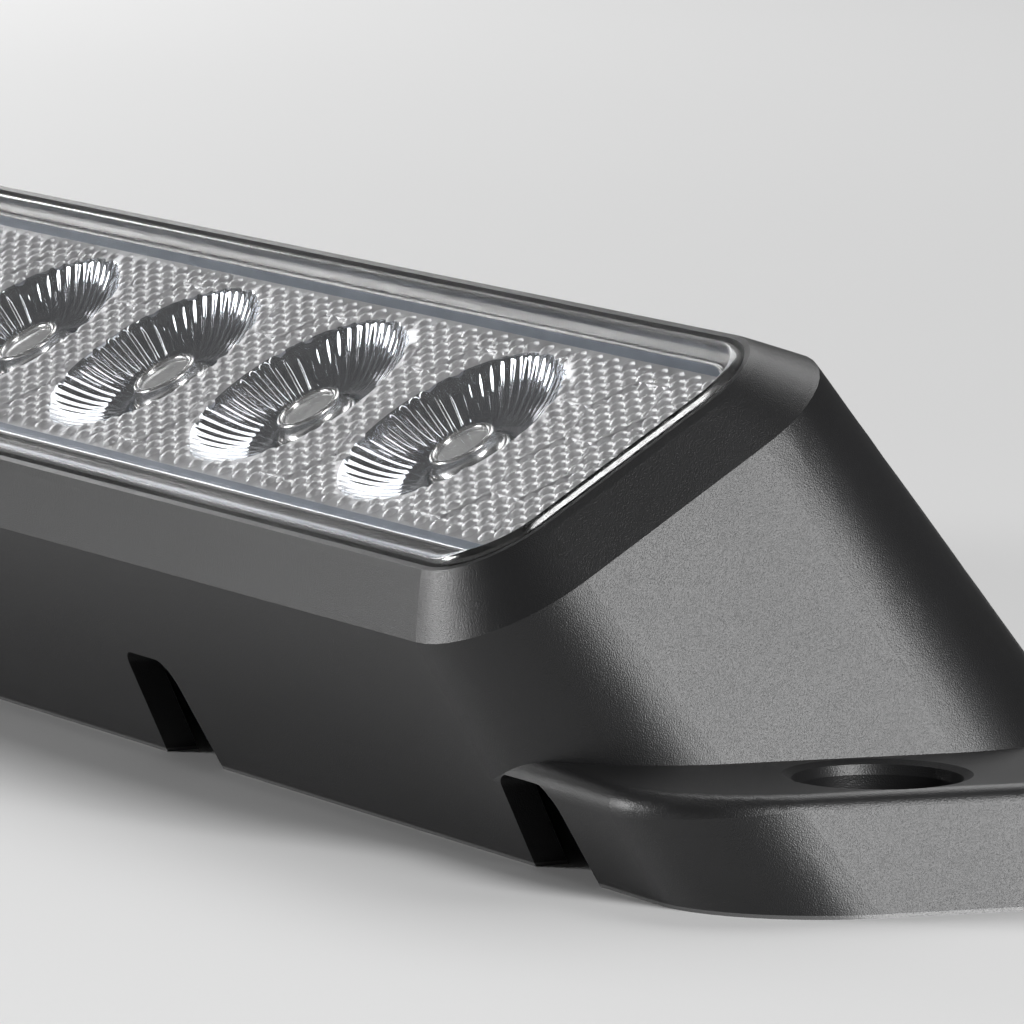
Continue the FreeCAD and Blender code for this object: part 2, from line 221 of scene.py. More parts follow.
def grained_black():
    """Spark-eroded grain everywhere, and a painted highlight along the lowest edge: a lighter grey band,
    also a little less rough.
    """
    finish = Finish("grained_black", IOR=MOULDING_IOR)
    grain = finish.noise(1.0 / GRAIN_SIZE, detail=1.0)
    cloud = finish.noise(CLOUD_SCALE, detail=3.0)
    height = finish.node("ShaderNodeSeparateXYZ", {}, {0: finish.place}, "Z")
    foot = height < FOOT_HIGHLIGHT_HEIGHT
    tone = finish.mix(cloud, grey(0.007), grey(0.011, 0.001))
    return finish.set(
        # Painted highlight: below the foot line the housing gets a lighter grey, a bright line along its
        # bottom edge.
        Base_Color=finish.mix(foot, tone, grey(0.10)),
        Roughness=0.30 + cloud * 0.06 + grain * 0.08 - foot * 0.05,
        Normal=finish.bump(grain, strength=1.0, distance=GRAIN_DEPTH),
    )


def clear_plastic():
    """The lid's flat face: clear, with hardly any haze."""
    finish = Finish("clear_plastic", IOR=CLEAR_IOR, Transmission_Weight=1.0)
    haze = finish.noise(HAZE_SCALE["clear_plastic"])
    finish.set(Base_Color=finish.mix(haze, grey(0.985), grey(1.0)), Roughness=haze * 0.012)
    return finish.let_light_through()


def streaked_edge():
    """The lid's rounded border and skirt: the same plastic with long faint flow streaks."""
    finish = Finish("streaked_edge", IOR=CLEAR_IOR, Transmission_Weight=1.0)
    sockets = {0: finish.place, 1: STREAK_STRETCH}
    along = finish.node("ShaderNodeVectorMath", {"operation": "MULTIPLY"}, sockets)
    streak = finish.noise(1.0, detail=3.0, place=along)
    finish.set(Base_Color=finish.mix(streak, grey(0.93), grey(1.0)), Roughness=0.02 + streak * 0.30)
    return finish.let_light_through()


def mirror_chrome():
    """Metallised cups: nearly a mirror, a little blue."""
    finish = Finish("mirror_chrome", Metallic=1.0)
    haze = finish.noise(HAZE_SCALE["mirror_chrome"])
    return finish.set(Base_Color=finish.mix(haze, *MIRROR_TONES), Roughness=0.04 + haze * 0.04)


def field_chrome():
    """The same metal over the pillows, rougher, so each one shades from light to dark; its grey is set
    darker than the cups' metal, which is painted shade.
    """
    finish = Finish("field_chrome", Metallic=1.0)
    haze = finish.noise(HAZE_SCALE["field_chrome"])
    # Painted shade: a darker grey than the mirror tones of the same metal in the cups.
    tone = finish.mix(haze, grey(0.58, 0.01), grey(0.70, 0.01))
    return finish.set(Base_Color=tone, Roughness=0.30 + haze * 0.08)


def collar_metal():
    """The bright turned collar of an LED."""
    finish = Finish("collar_metal", Metallic=1.0)
    haze = finish.noise(HAZE_SCALE["collar_metal"])
    return finish.set(Base_Color=finish.mix(haze, grey(0.78), grey(0.88)), Roughness=0.16 + haze * 0.08)


def window_gel():
    """The LED's clear gel over its chip, drawn as an opaque glossy disc: its grey is painted shade, for the
    dim inside seen through the gel.
    """
    finish = Finish("window_gel", Coat_Roughness=0.03, Coat_Weight=0.8)
    cloud = finish.noise(HAZE_SCALE["window_gel"], detail=3.0)
    # Painted shade: these greys stand for the LED's dim inside, seen through the clear gel.
    tone = finish.mix(cloud, grey(0.16), grey(0.34))
    return finish.set(Base_Color=tone, Roughness=0.10 + cloud * 0.05)


def margin_satin():
    """The plain strip along both long sides of the plate, bluish, and dim as painted shade under the lid's
    border.
    """
    finish = Finish("margin_satin", Metallic=0.7)
    haze = finish.noise(HAZE_SCALE["margin_satin"])
    return finish.set(Base_Color=finish.mix(haze, *SHADED_MARGIN_TONES), Roughness=0.30 + haze * 0.1)


finishes = {
    "grained_black": grained_black(),
    "clear_plastic": clear_plastic(),
    "streaked_edge": streaked_edge(),
    "mirror_chrome": mirror_chrome(),
    "field_chrome": field_chrome(),
    "collar_metal": collar_metal(),
    "window_gel": window_gel(),
    "margin_satin": margin_satin(),
}
print("main finishes:", sorted(finishes))

# %% [markdown]
# ## Finishes of the inner parts
# Most of these are a plain colour that varies a little, so one function makes them from a short table:
# two tones, roughness, metallic share, the size of the mottle and the strength of a fine bump.

# %% Inner finishes
INNER_FINISHES = {
    "led_silicone": ((0.80, 0.77, 0.60), (0.90, 0.88, 0.76), 0.12, 0.0, 0.6 * MM, 0.0),
    "led_ceramic": ((0.78, 0.78, 0.76), (0.88, 0.88, 0.86), 0.35, 0.0, 0.4 * MM, 0.1),
    "board_mask": ((0.74, 0.75, 0.74), (0.82, 0.82, 0.80), 0.38, 0.0, 1.5 * MM, 0.1),
    "pad_silicone": ((0.30, 0.36, 0.44), (0.36, 0.42, 0.50), 0.70, 0.0, 0.8 * MM, 0.3),
    "cast_sink": ((0.50, 0.51, 0.53), (0.60, 0.61, 0.63), 0.42, 1.0, 0.5 * MM, 0.35),
    "screw_steel": ((0.56, 0.56, 0.57), (0.68, 0.68, 0.69), 0.28, 1.0, 0.6 * MM, 0.1),
    "seal_rubber": ((0.020, 0.020, 0.021), (0.032, 0.032, 0.033), 0.62, 0.0, 0.3 * MM, 0.4),
    "chip_resin": ((0.022, 0.022, 0.025), (0.040, 0.040, 0.043), 0.50, 0.0, 0.2 * MM, 0.3),
    "capacitor_ceramic": ((0.42, 0.31, 0.20), (0.50, 0.38, 0.26), 0.40, 0.0, 0.3 * MM, 0.1),
    "terminal_plastic": ((0.76, 0.75, 0.71), (0.84, 0.83, 0.80), 0.45, 0.0, 0.5 * MM, 0.2),
}
MOTTLE_DEPTH = 0.05 * MM
MOTTLE_SPREAD = 0.1


def mottled(name, dark, light, roughness, metallic, size, strength):
    """Two tones and a roughness that follow one noise, with a bump where the surface has a grain."""
    finish = Finish(name, Metallic=metallic)
    spots = finish.noise(1.0 / size, detail=3.0)
    tone = finish.mix(spots, (*dark, 1.0), (*light, 1.0))
    finish.set(Base_Color=tone, Roughness=roughness - MOTTLE_SPREAD / 2 + spots * MOTTLE_SPREAD)
    if strength:
        finish.set(Normal=finish.bump(spots, strength, MOTTLE_DEPTH))
    return finish.material


for name, values in INNER_FINISHES.items():
    finishes[name] = mottled(name, *values)
print("inner finishes:", len(INNER_FINISHES))

# %% [markdown]
# ## Finishes on the CAD nodes
# A CAD node whose shape is right stays and takes a finish by its record slot. Most slots have a finish
# of the same name, and a short table names the others.

# %% Dress the CAD nodes
SLOT_FINISH = {
    "black_moulding": "grained_black",
    "clear_lens": "clear_plastic",
    "bright_reflector": "mirror_chrome",
}
for row in frame["record"]["subparts"]:
    finish_name = SLOT_FINISH.get(row["material_slot"], row["material_slot"])
    node_mesh = nodes[row["node"]].data
    node_mesh.materials.clear()
    node_mesh.materials.append(finishes[finish_name])


# %% [markdown]
# ## Mesh helpers
# A moulded lid or a fluted cup is a stack of rings: closed loops of points with the same count, each
# joined to the next by quads. A rounded rectangle has its points spread over four corner arcs.
# What is drawn as patches is welded afterwards, so every piece ends as one closed skin.

# %% Ring stacks and finished pieces
ARC_STEPS = 16
QUARTER_TURN = math.pi / 2
WELD = 0.0002 * MM
SHARP_ANGLE = math.radians(60.0)


def rounded_ring(length, width, corner, z):
    """Points of a rectangle with round corners, counter-clockwise seen from +z."""
    points = []
    for quarter in range(4):
        start = quarter * QUARTER_TURN
        side_x = 1 if quarter in (0, 3) else -1
        side_y = 1 if quarter in (0, 1) else -1
        for step in range(ARC_STEPS + 1):
            angle = start + step / ARC_STEPS * QUARTER_TURN
            x = side_x * (length / 2 - corner) + corner * math.cos(angle)
            y = side_y * (width / 2 - corner) + corner * math.sin(angle)
            points.append(Vector((x, y, z)))
    return points


def join_rings(mesh, rings):
    """Quads between rings that follow each other; gives back the rings as mesh points."""
    loops = [[mesh.verts.new(point) for point in ring] for ring in rings]
    for low, high in zip(loops, loops[1:]):
        count = len(low)
        for i in range(count):
            j = (i + 1) % count
            mesh.faces.new((low[i], low[j], high[j], high[i]))
    return loops


def applied(carrier):
    """The mesh of an object with its modifiers worked in; the object itself goes."""
    bpy.context.view_layer.update()
    evaluated = carrier.evaluated_get(bpy.context.evaluated_depsgraph_get())
    data = bpy.data.meshes.new_from_object(evaluated)
    bpy.data.objects.remove(carrier)
    return data


def thickened(data, thickness):
    """Gives an open sheet a back and rims, behind the side it shows."""
    carrier = bpy.data.objects.new("sheet", data)
    scene.collection.objects.link(carrier)
    modifier = carrier.modifiers.new("thickness", "SOLIDIFY")
    modifier.thickness = thickness
    modifier.offset = -1.0
    solid = applied(carrier)
    solid.set_sharp_from_angle(angle=SHARP_ANGLE)
    return solid


def place_piece(name, data):
    """Turns a head-frame mesh into place and makes it a piece that rides on the light."""
    data.name = name
    data.transform(HEAD)
    piece = bpy.data.objects.new(name, data)
    scene.collection.objects.link(piece)
    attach(piece, "root")
    print(name, "has", len(data.polygons), "faces")
    return piece


def finished_piece(name, mesh, finish_list, replaced, thickness=0.0):
    """Welds a head-frame mesh, dresses it and puts it in the place of a CAD node."""
    bmesh.ops.remove_doubles(mesh, verts=mesh.verts, dist=WELD)
    bmesh.ops.recalc_face_normals(mesh, faces=mesh.faces)
    # An open sheet has no inside to turn away from, so it is made to face out of the lens.
    if thickness and sum(face.normal.z * face.calc_area() for face in mesh.faces) < 0:
        bmesh.ops.reverse_faces(mesh, faces=mesh.faces)
    data = bpy.data.meshes.new(name)
    mesh.to_mesh(data)
    mesh.free()
    for finish_name in finish_list:
        data.materials.append(finishes[finish_name])
    if thickness:
        data = thickened(data, thickness)
    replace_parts(place_piece(name, data), replaced)


print("ring stacks use", ARC_STEPS, "steps for each round corner")

# %% [markdown]
# ## The clear lid
# The lid is one moulding: a flat face, a round over its edge and a skirt all round that reaches down
# to the seal. It is a closed skin, so light bends in it as in the real one. The round and the skirt are
# thinner at the two short ends, where the dimpled field shows right up to the rim.

# %% Clear lid
LENS_EDGE = 0.8 * MM
END_EDGE = 0.3 * MM
END_SKIRT = 0.45 * MM
EDGE_STEPS = 8
INNER_ROUND = 0.5 * MM
LEAST_CORNER = 1.0 * MM
LID_FINISHES = ["clear_plastic", "streaked_edge"]
FLAT_FINISH, SIDE_FINISH = range(2)


def lid_ring(inset, z, end_gain=0.0):
    """A ring set in from the lens opening; the gain brings its two short ends back out."""
    corner = max(LENS_CORNER - inset, LEAST_CORNER)
    return rounded_ring(LENS_LENGTH - 2 * (inset - end_gain), LENS_WIDTH - 2 * inset, corner, z)


def outer_rings():
    """The skirt's outside and the round over the edge, from the foot to the flat face."""
    rings = [lid_ring(LENS_CLEARANCE, SKIRT_FOOT)]
    for step in range(EDGE_STEPS + 1):
        angle = step / EDGE_STEPS * QUARTER_TURN
        turn_in = 1 - math.cos(angle)
        level = LENS_TOP - LENS_EDGE * (1 - math.sin(angle))
        end_gain = (LENS_EDGE - END_EDGE) * turn_in
        rings.append(lid_ring(LENS_CLEARANCE + LENS_EDGE * turn_in, level, end_gain))
    return rings


def inner_rings():
    """The skirt's inside and the small round under the flat face, from the foot up."""
    inner = LENS_CLEARANCE + LENS_SKIRT
    end_gain = LENS_SKIRT - END_SKIRT
    rings = [lid_ring(inner, SKIRT_FOOT, end_gain)]
    for step in range(EDGE_STEPS + 1):
        angle = step / EDGE_STEPS * QUARTER_TURN
        inset = inner + INNER_ROUND * (1 - math.cos(angle))
        rings.append(lid_ring(inset, LENS_UNDER - INNER_ROUND * (1 - math.sin(angle)), end_gain))
    return rings


def make_lid():
    mesh = bmesh.new()
    outer = join_rings(mesh, outer_rings())
    inner = join_rings(mesh, inner_rings())
    mesh.faces.new(outer[-1])
    mesh.faces.new(list(reversed(inner[-1])))
    count = len(outer[0])
    for i in range(count):
        j = (i + 1) % count
        mesh.faces.new((outer[0][j], outer[0][i], inner[0][i], inner[0][j]))
    for face in mesh.faces:
        side = len(face.verts) == 4
        face.smooth = side
        face.material_index = SIDE_FINISH if side else FLAT_FINISH
    finished_piece("clear_lid", mesh, LID_FINISHES, "lens_cover")


make_lid()

# %% [markdown]
# ## The reflector
# Each cup is a shallow parabola pressed with narrow radial flutes. A ring stack gives it: the radius is
# scalloped around the circle, and the scallops fade out at the rim and at the foot. Around each rim
# the flat plate fills a cell one LED pitch wide. Two end fields with round corners close the plate, and
# a plain strip along each long side turns down to the board. The sheet is then given a thickness.

# %% Reflector plate and cups
FLUTES = 54
FLUTE_STEPS = 6
RING_POINTS = FLUTES * FLUTE_STEPS
FLUTE_DEPTH = 0.22 * MM
FLUTE_GAIN = 1.6
FLUTE_START = 2
FLUTE_END = 6
FLUTE_MIDDLE = 0.6
BOWL_STEPS = 20
BOWL_POWER = 2.0
FOOT_RADIUS = 2.9 * MM
MARGIN = 0.95 * MM
SINK = 0.01 * MM
SHEET = 0.12 * MM
TINY = 1e-9
END_GAP = 0.1 * MM
PLATE_HALF_X = LENS_LENGTH / 2 - LENS_CLEARANCE - END_SKIRT - END_GAP
PLATE_HALF_Y = LENS_WIDTH / 2 - REFLECTOR_INSET
PLATE_CORNER_X = LENS_LENGTH / 2 - LENS_CORNER
PLATE_CORNER_Y = LENS_WIDTH / 2 - LENS_CORNER
FIELD_HALF_Y = PLATE_HALF_Y - MARGIN
CORNER_STEPS = 12
PLATE_FINISHES = ["mirror_chrome", "margin_satin", "field_chrome"]
CUP_FINISH, STRIP_FINISH, FIELD_FINISH = range(3)


def bowl_ring(x, share):
    """One fluted ring of a cup, from its foot (0) to its rim (1)."""
    base = FOOT_RADIUS + (CUP_RADIUS - FOOT_RADIUS) * share
    fade = FLUTE_GAIN * share ** FLUTE_START * (1 - share ** FLUTE_END)
    z = REFLECTOR_TOP - CUP_DEPTH * (1 - share ** BOWL_POWER)
    ring = []
    for i in range(RING_POINTS):
        scallop = abs(math.sin(math.pi * i / FLUTE_STEPS))
        radius = base + FLUTE_DEPTH * fade * (scallop - FLUTE_MIDDLE)
        angle = 2 * math.pi * i / RING_POINTS
        ring.append(Vector((x + radius * math.cos(angle), radius * math.sin(angle), z)))
    return ring


def cell_ring(x):
    """Where rays from a cup's centre meet the border of its cell, with a point on each corner."""
    half_x, half_y = LED_PITCH / 2, FIELD_HALF_Y
    ring = []
    for i in range(RING_POINTS):
        angle = 2 * math.pi * i / RING_POINTS
        along, across = math.cos(angle), math.sin(angle)
        reach = min(half_x / max(abs(along), TINY), half_y / max(abs(across), TINY))
        ring.append(Vector((x + reach * along, reach * across, REFLECTOR_TOP)))
    for side_x in (-1, 1):
        for side_y in (-1, 1):
            corner = Vector((x + side_x * half_x, side_y * half_y, REFLECTOR_TOP))
            nearest = min(range(RING_POINTS), key=lambda i: (ring[i] - corner).length)
            ring[nearest] = corner
    return ring


def plate_edge(y):
    """How far the plate reaches along x at a height y: straight, then round at its corners."""
    rise = (abs(y) - PLATE_CORNER_Y) / (PLATE_HALF_Y - PLATE_CORNER_Y)
    if rise <= 0:
        return PLATE_HALF_X
    return PLATE_CORNER_X + (PLATE_HALF_X - PLATE_CORNER_X) * math.sqrt(max(0.0, 1 - rise * rise))


def add_face(mesh, corners, finish_index):
    face = mesh.faces.new([mesh.verts.new(corner) for corner in corners])
    face.material_index = finish_index


def add_level_face(mesh, corners, finish_index):
    """A face that lies in the top of the plate."""
    add_face(mesh, [(x, y, REFLECTOR_TOP) for x, y in corners], finish_index)


def add_turned_edge(mesh, x0, x1, y):
    """A stretch of the long side that is turned down to the board."""
    top = [(x0, y, REFLECTOR_TOP), (x1, y, REFLECTOR_TOP)]
    foot = [(x1, y, BOARD_TOP), (x0, y, BOARD_TOP)]
    add_face(mesh, top + foot, STRIP_FINISH)


def add_strip(mesh, x0, x1, side):
    """A stretch of the plain strip along one long side, with its turned edge."""
    inner, outer = side * FIELD_HALF_Y, side * PLATE_HALF_Y
    add_level_face(mesh, [(x0, inner), (x1, inner), (x1, outer), (x0, outer)], STRIP_FINISH)
    add_turned_edge(mesh, x0, x1, outer)


def add_end(mesh, end, start, heights):
    """One short end of the plate: the dimpled field up to its round corners, and the strips' ends."""
    inner = end * start
    for y0, y1 in zip(heights, heights[1:]):
        corners = [(inner, y0), (end * plate_edge(y0), y0), (end * plate_edge(y1), y1), (inner, y1)]
        add_level_face(mesh, corners, FIELD_FINISH)
    rise = MARGIN / CORNER_STEPS
    for side in (-1, 1):
        levels = [side * (FIELD_HALF_Y + rise * step) for step in range(CORNER_STEPS + 1)]
        outline = [(end * plate_edge(y), y) for y in levels]
        add_level_face(mesh, outline + [(inner, levels[-1]), (inner, levels[0])], STRIP_FINISH)
        add_turned_edge(mesh, inner, end * PLATE_CORNER_X, levels[-1])


def add_cups(mesh):
    """All cups with their cells: mirror in the bowl, the field's finish on the flat."""
    for x in LED_PLACES:
        rings = [bowl_ring(x, step / BOWL_STEPS) for step in range(BOWL_STEPS + 1)]
        join_rings(mesh, rings + [cell_ring(x)])
    for face in mesh.faces:
        face.smooth = True
        level = min(vert.co.z for vert in face.verts)
        face.material_index = FIELD_FINISH if level > REFLECTOR_TOP - SINK else CUP_FINISH


def make_reflector():
    mesh = bmesh.new()
    add_cups(mesh)
    for x in LED_PLACES:
        places = sorted(point.x for point in cell_ring(x) if point.y > FIELD_HALF_Y - WELD)
        for x0, x1 in zip(places, places[1:]):
            for side in (-1, 1):
                add_strip(mesh, x0, x1, side)
    cells_end = LED_PLACES[-1] + LED_PITCH / 2
    heights = sorted(point.y for point in cell_ring(LED_PLACES[-1]) if point.x > cells_end - WELD)
    for end in (-1, 1):
        add_end(mesh, end, cells_end, heights)
    finished_piece("reflector_plate", mesh, PLATE_FINISHES, "reflector", SHEET)


make_reflector()

# %% [markdown]
# ## The dimpled field
# The flat between the cups is covered with small six-sided pillows, and thin raised ribs cross it in a
# coarse honeycomb. A Geometry Nodes tree suits what repeats: Python lists the points of each lattice,
# less those inside a cup, and the tree puts one low pillow or one rib on each point.

# %% Pillow and rib shapes
PILLOW_PITCH = 1.14 * MM
PILLOW_HEIGHT = 0.20 * MM
PILLOW_RINGS = 4
PILLOW_POINTS = 12
PILLOW_REACH = PILLOW_PITCH / math.sqrt(3)
TOP_ROUND = 0.93
HALF_SIDE = math.pi / 6
HONEYCOMB_SIDE = 3.33 * MM
RIB_WIDTH = 0.26 * MM
RIB_HEIGHT = 0.205 * MM
RIB_STEPS = 6


def shape_data(name, mesh, base):
    """A small closed shape as mesh data; the edge of its hidden base stays out of the smoothing."""
    for edge in base.edges:
        edge.smooth = False
    bmesh.ops.recalc_face_normals(mesh, faces=mesh.faces)
    data = bpy.data.meshes.new(name)
    mesh.to_mesh(data)
    mesh.free()
    return data


def pillow_ring(share):
    """One ring of a pillow: a hexagon at the base (1) that turns round towards the top (0)."""
    height = PILLOW_HEIGHT * (1 - share ** 2)
    ring = []
    for i in range(PILLOW_POINTS):
        angle = 2 * math.pi * i / PILLOW_POINTS
        off_middle = (angle + HALF_SIDE) % (2 * HALF_SIDE) - HALF_SIDE
        edge = math.cos(HALF_SIDE) / math.cos(off_middle)
        radius = PILLOW_REACH * share * (edge * share + (1 - share) * TOP_ROUND)
        ring.append(Vector((radius * math.cos(angle), radius * math.sin(angle), height)))
    return ring


def pillow_mesh():
    """A low dome on a hexagon, a few dozen faces."""
    mesh = bmesh.new()
    loops = join_rings(mesh, [pillow_ring(1 - step / PILLOW_RINGS) for step in range(PILLOW_RINGS)])
    tip = mesh.verts.new((0, 0, PILLOW_HEIGHT))
    last = loops[-1]
    for i in range(PILLOW_POINTS):
        mesh.faces.new((last[i], last[(i + 1) % PILLOW_POINTS], tip))
    for face in mesh.faces:
        face.smooth = True
    return shape_data("pillow", mesh, mesh.faces.new(loops[0]))


def rib_mesh():
    """A low rounded bar, one honeycomb edge long."""
    mesh = bmesh.new()
    profile = []
    for step in range(RIB_STEPS + 1):
        angle = step / RIB_STEPS * math.pi
        profile.append((RIB_WIDTH / 2 * math.cos(angle), RIB_HEIGHT * math.sin(angle)))
    half = HONEYCOMB_SIDE / 2
    near, far = [[mesh.verts.new((x, y, z)) for y, z in profile] for x in (-half, half)]
    for i in range(RIB_STEPS):
        face = mesh.faces.new((near[i], far[i], far[i + 1], near[i + 1]))
        face.smooth = True
    mesh.faces.new(near)
    mesh.faces.new(far)
    return shape_data("rib", mesh, mesh.faces.new((near[0], near[-1], far[-1], far[0])))


pillow_shape = pillow_mesh()
rib_shape = rib_mesh()
print("pillow:", len(pillow_shape.polygons), "faces, rib:", len(rib_shape.polygons), "faces")

# %% [markdown]
# ## Where pillows and ribs go
# Near a cup's rim or the field's edge a pillow shrinks to the room that is left, so none hangs over.
# Each honeycomb cell gives three of its six edges, because its neighbours give the other three.

# %% Lattice points
PILLOW_OVERLAP = 0.30 * MM
LEAST_ROOM = 0.05 * MM
EDGE_ROOM = 0.22 * MM
HONEYCOMB_X = 59.28 * MM
HONEYCOMB_Y = 1.115 * MM
HONEYCOMB_ROWS = 3
HONEYCOMB_STEP = 1.5 * HONEYCOMB_SIDE
HONEYCOMB_RISE = HONEYCOMB_SIDE * math.sqrt(3) / 2


def room_around(x, y):
    """Distance from a spot on the field to the nearest cup rim or field edge; negative outside."""
    to_cup = min(math.hypot(x - led, y) for led in LED_PLACES) - CUP_RADIUS
    return min(FIELD_HALF_Y - EDGE_ROOM - abs(y), plate_edge(y) - abs(x), to_cup)


def lattice_points():
    """A hexagonal lattice over the field: x, y, no turn, and a size that shrinks at the edges."""
    points = []
    column = PILLOW_PITCH * math.sqrt(3) / 2
    columns = int(PLATE_HALF_X / column)
    rows = int(FIELD_HALF_Y / PILLOW_PITCH) + 1
    for i in range(-columns, columns + 1):
        x = i * column
        for j in range(-rows, rows + 1):
            y = (j + 0.5 * (i % 2)) * PILLOW_PITCH
            room = room_around(x, y)
            if room > LEAST_ROOM:
                points.append((x, y, 0.0, min(1.0, (room + PILLOW_OVERLAP) / PILLOW_REACH)))
    return points


def cell_edges(x, y):
    """The top edge of a honeycomb cell and the two that lean down from it: x, y, turn and size."""
    edges = []
    for step in (-1, 0, 1):
        turn = -step * math.pi / 3
        middle = Vector((x + step * HONEYCOMB_STEP / 2, y + HONEYCOMB_RISE * (1 - abs(step) / 2)))
        reach = Vector((math.cos(turn), math.sin(turn))) * HONEYCOMB_SIDE / 2
        if min(room_around(*(middle + k * reach)) for k in (-1, 0, 1)) > RIB_WIDTH:
            edges.append((*middle, turn, 1.0))
    return edges


def rib_points():
    """The edges of all honeycomb cells that lie clear of the cups."""
    points = []
    first = math.floor((-PLATE_HALF_X - HONEYCOMB_X) / HONEYCOMB_STEP)
    last = math.ceil((PLATE_HALF_X - HONEYCOMB_X) / HONEYCOMB_STEP)
    for i in range(first, last + 1):
        for j in range(-HONEYCOMB_ROWS, HONEYCOMB_ROWS + 1):
            x = HONEYCOMB_X + HONEYCOMB_STEP * i
            y = HONEYCOMB_Y + HONEYCOMB_RISE * (2 * j + i % 2)
            points += cell_edges(x, y)
    return points


pillow_places = lattice_points()
rib_places = rib_points()
print("pillows:", len(pillow_places), "ribs:", len(rib_places))

# %% [markdown]
# ## Spreading the shapes
# Each point carries its own turn and its share of the full size. The tree reads both, places the shape,
# turns the copies into real faces and gives them the field's finish. The result is kept as a plain mesh.

# %% Pillows and ribs on the plate
FULL_SIZE = 1.0


def instance_tree(name, shape, finish):
    """Geometry Nodes: one shape on each point, with the point's own turn and share of the size input."""
    tree = bpy.data.node_groups.new(name, "GeometryNodeTree")
    tree.interface.new_socket("Geometry", in_out="INPUT", socket_type="NodeSocketGeometry")
    size = tree.interface.new_socket("Shape Size", in_out="INPUT", socket_type="NodeSocketFloat")
    size.default_value = FULL_SIZE
    tree.interface.new_socket("Geometry", in_out="OUTPUT", socket_type="NodeSocketGeometry")
    entry = tree.nodes.new("NodeGroupInput")
    leave = tree.nodes.new("NodeGroupOutput")
    source = tree.nodes.new("GeometryNodeObjectInfo")
    source.inputs["Object"].default_value = shape
    own = {}
    for attribute in ("turn", "share"):
        own[attribute] = tree.nodes.new("GeometryNodeInputNamedAttribute")
        own[attribute].data_type = "FLOAT"
        own[attribute].inputs["Name"].default_value = attribute
    about_z = tree.nodes.new("ShaderNodeCombineXYZ")
    scaled = tree.nodes.new("ShaderNodeMath")
    scaled.operation = "MULTIPLY"
    place = tree.nodes.new("GeometryNodeInstanceOnPoints")
    realize = tree.nodes.new("GeometryNodeRealizeInstances")
    paint = tree.nodes.new("GeometryNodeSetMaterial")
    paint.inputs["Material"].default_value = finish
    tree.links.new(own["turn"].outputs["Attribute"], about_z.inputs["Z"])
    tree.links.new(own["share"].outputs["Attribute"], scaled.inputs[0])
    tree.links.new(entry.outputs["Shape Size"], scaled.inputs[1])
    tree.links.new(about_z.outputs["Vector"], place.inputs["Rotation"])
    tree.links.new(entry.outputs["Geometry"], place.inputs["Points"])
    tree.links.new(source.outputs["Geometry"], place.inputs["Instance"])
    tree.links.new(scaled.outputs["Value"], place.inputs["Scale"])
    tree.links.new(place.outputs["Instances"], realize.inputs["Geometry"])
    tree.links.new(realize.outputs["Geometry"], paint.inputs["Geometry"])
    tree.links.new(paint.outputs["Geometry"], leave.inputs["Geometry"])
    return tree, size.identifier


def spread(name, shape, points):
    """Puts a shape on every point of the plate and keeps the result as one plain mesh."""
    seeds = bpy.data.meshes.new(name + "_points")
    seeds.from_pydata([(x, y, REFLECTOR_TOP - SINK) for x, y, turn, share in points], [], [])
    for column, attribute in ((2, "turn"), (3, "share")):
        values = seeds.attributes.new(attribute, "FLOAT", "POINT")
        values.data.foreach_set("value", [point[column] for point in points])
    carrier = bpy.data.objects.new(name + "_points", seeds)
    scene.collection.objects.link(carrier)
    source = bpy.data.objects.new(name + "_source", shape)
    scene.collection.objects.link(source)
    tree, size_id = instance_tree(name + "_lattice", source, finishes["field_chrome"])
    modifier = carrier.modifiers.new(name, "NODES")
    modifier.node_group = tree
    modifier[size_id] = FULL_SIZE
    data = applied(carrier)
    bpy.data.objects.remove(source)
    place_piece(name, data)


spread("reflector_pillows", pillow_shape, pillow_places)
spread("reflector_ribs", rib_shape, rib_places)

# %% [markdown]
# ## The LEDs
# Each LED stands in the foot of its cup: a low shoulder, a bright collar with a rounded rim, a square
# chip on its floor and a crowned disc of clear gel, drawn opaque in a grey that is painted shade.
# Collar and disc are turned shapes, so one function spins a profile.

# %% LED bodies and windows
TURN_STEPS = 48
LED_FOOT = -4.5 * MM
SHOULDER_RADIUS = 2.75 * MM
SHOULDER_TOP = -4.05 * MM
COLLAR_RADIUS = 2.2 * MM
COLLAR_TOP = -3.0 * MM
COLLAR_WALL = 0.45 * MM
COLLAR_ROUND = 0.20 * MM
ROUND_STEPS = 4
CHIP_LEVEL = -3.75 * MM
CHIP_HALF = 0.75 * MM
CHIP_HEIGHT = 0.12 * MM
WINDOW_EDGE = -3.24 * MM
WINDOW_CROWN = 0.10 * MM
WINDOW_THICKNESS = 0.25 * MM
WINDOW_GAP = 0.02 * MM
WINDOW_STEPS = 8
UNDER_SHARE = 0.2
LED_FINISHES = ["collar_metal", "led_ceramic"]
CHIP_FINISH = 1


def quarter_round(radius, top, size, inward):
    """Profile points of a rounded upper edge, from the side of a ring to its top or back down."""
    points = []
    for step in range(ROUND_STEPS + 1):
        angle = step / ROUND_STEPS * QUARTER_TURN
        if inward:
            points.append((radius + size * (1 - math.sin(angle)), top - size * (1 - math.cos(angle))))
        else:
            points.append((radius - size * (1 - math.cos(angle)), top - size * (1 - math.sin(angle))))
    return points


def spin(mesh, x, profile):
    """Rings of a turned shape around an axis at x, closed by a flat face at each end."""
    rings = []
    for radius, z in profile:
        ring = []
        for i in range(TURN_STEPS):
            angle = 2 * math.pi * i / TURN_STEPS
            ring.append(Vector((x + radius * math.cos(angle), radius * math.sin(angle), z)))
        rings.append(ring)
    loops = join_rings(mesh, rings)
    for loop in (loops[0], loops[-1]):
        mesh.faces.new(loop)
    for face in mesh.faces:
        face.smooth = True


